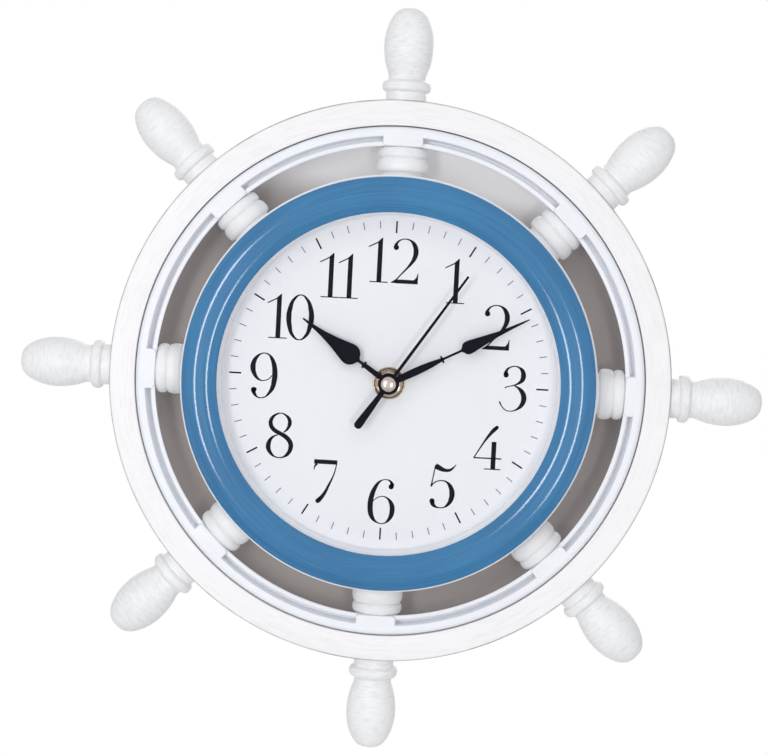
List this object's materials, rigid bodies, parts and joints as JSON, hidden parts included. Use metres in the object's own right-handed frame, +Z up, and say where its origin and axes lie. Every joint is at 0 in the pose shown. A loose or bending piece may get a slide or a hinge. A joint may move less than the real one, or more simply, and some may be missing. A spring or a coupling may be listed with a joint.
{
  "type": "wall clock",
  "caption": "Ship's wheel wall clock: turned spokes and handles round a drum with a moulded blue bezel, printed dial, three hands and a quartz movement that hangs by a keyhole plate.",
  "frame": {"origin": "middle of the keyhole of the hanger plate, in the plane of the wall", "axes": "-Y towards the viewer, out of the wall; +Z up; the dial axis runs along Y, 85.4 mm below the origin"},
  "size_m": [0.35, 0.0427, 0.35],
  "materials": {
    "white_lacquer": "smooth white lacquer over turned wood, satin",
    "blue_bezel": "satin blue enamel on spun metal",
    "dial_white": "matt cool white print ground",
    "ring_white": "matt cool white plastic",
    "clear_glass": "flat clear mineral glass",
    "black_enamel": "black enamel on pressed metal",
    "cap_metal": "polished pale brass",
    "brass": "turned brass",
    "black_rubber": "black rubber",
    "case_plastic": "matt black plastic",
    "plate_plastic": "natural white plastic",
    "wheel_plastic": "natural acetal plastic",
    "knob_plastic": "matt black plastic",
    "steel": "plain steel",
    "tube_brass": "drawn brass",
    "magnet": "dark sintered magnet",
    "copper_winding": "enamelled copper wire",
    "board": "phenolic board",
    "chip_black": "black epoxy",
    "battery_sleeve": "plain grey sleeve over a steel can"
  },
  "bodies": {
    "root": {"outer_rim": "white_lacquer", "inner_ring": "white_lacquer", "spokes": "white_lacquer", "handles": "white_lacquer", "housing": "white_lacquer", "hanger_plate": "steel", "hanger_screws": "steel", "dial": "dial_white", "dial_ring": "ring_white", "glass": "clear_glass", "bezel": "blue_bezel", "threaded_bush": "brass", "rubber_gasket": "black_rubber", "washer": "brass", "nut": "brass", "movement_back_case": "case_plastic", "movement_front_case": "case_plastic", "middle_plate": "plate_plastic", "battery": "battery_sleeve", "battery_contact_plus": "steel", "battery_contact_minus": "steel", "stator": "steel", "coil_core": "steel", "coil_bobbin": "plate_plastic", "coil_winding": "copper_winding", "circuit_board": "board", "controller_chip": "chip_black", "quartz_crystal": "steel"},
    "minute": {"centre_wheel": "wheel_plastic", "cannon_tube": "tube_brass", "minute_hand": "black_enamel"},
    "third": {"third_wheel": "wheel_plastic"},
    "second": {"second_wheel": "wheel_plastic", "second_arbor": "steel", "second_hand": "black_enamel", "second_hand_cap": "cap_metal"},
    "intermediate": {"intermediate_wheel": "wheel_plastic"},
    "rotor": {"rotor_pinion": "wheel_plastic", "rotor_magnet": "magnet"},
    "motion": {"motion_wheel": "wheel_plastic"},
    "hour": {"hour_wheel": "wheel_plastic", "hour_hand": "black_enamel"},
    "setting": {"setting_shaft": "wheel_plastic", "setting_knob": "knob_plastic"}
  },
  "joints": [
    {"name": "minute_turn", "type": "hinge", "parent": "root", "child": "minute", "pos_m": [0, -0.012, -0.0854], "axis": [0, 1, 0], "continuous": true},
    {"name": "hour_turn", "type": "hinge", "parent": "root", "child": "hour", "pos_m": [0, -0.012, -0.0854], "axis": [0, 1, 0], "continuous": true},
    {"name": "second_turn", "type": "hinge", "parent": "root", "child": "second", "pos_m": [0, -0.012, -0.0854], "axis": [0, 1, 0], "continuous": true},
    {"name": "third_turn", "type": "hinge", "parent": "root", "child": "third", "pos_m": [-0.00895, -0.012, -0.08214], "axis": [0, 1, 0], "continuous": true},
    {"name": "intermediate_turn", "type": "hinge", "parent": "root", "child": "intermediate", "pos_m": [0.00165, -0.012, -0.07602], "axis": [0, 1, 0], "continuous": true},
    {"name": "rotor_turn", "type": "hinge", "parent": "root", "child": "rotor", "pos_m": [0.0004, -0.012, -0.06893], "axis": [0, 1, 0], "continuous": true},
    {"name": "motion_turn", "type": "hinge", "parent": "root", "child": "motion", "pos_m": [0.00951, -0.012, -0.08674], "axis": [0, 1, 0], "continuous": true},
    {"name": "setting_turn", "type": "hinge", "parent": "root", "child": "setting", "pos_m": [0.01431, -0.012, -0.07842], "axis": [0, 1, 0], "continuous": true}
  ],
  "couplings": [
    {"joint": "hour_turn", "follows": "minute_turn", "ratio": 0.083333},
    {"joint": "third_turn", "follows": "minute_turn", "ratio": -8},
    {"joint": "second_turn", "follows": "minute_turn", "ratio": 60},
    {"joint": "intermediate_turn", "follows": "minute_turn", "ratio": -360},
    {"joint": "rotor_turn", "follows": "minute_turn", "ratio": 1800},
    {"joint": "motion_turn", "follows": "minute_turn", "ratio": -0.33333},
    {"joint": "setting_turn", "follows": "minute_turn", "ratio": 1}
  ]
}
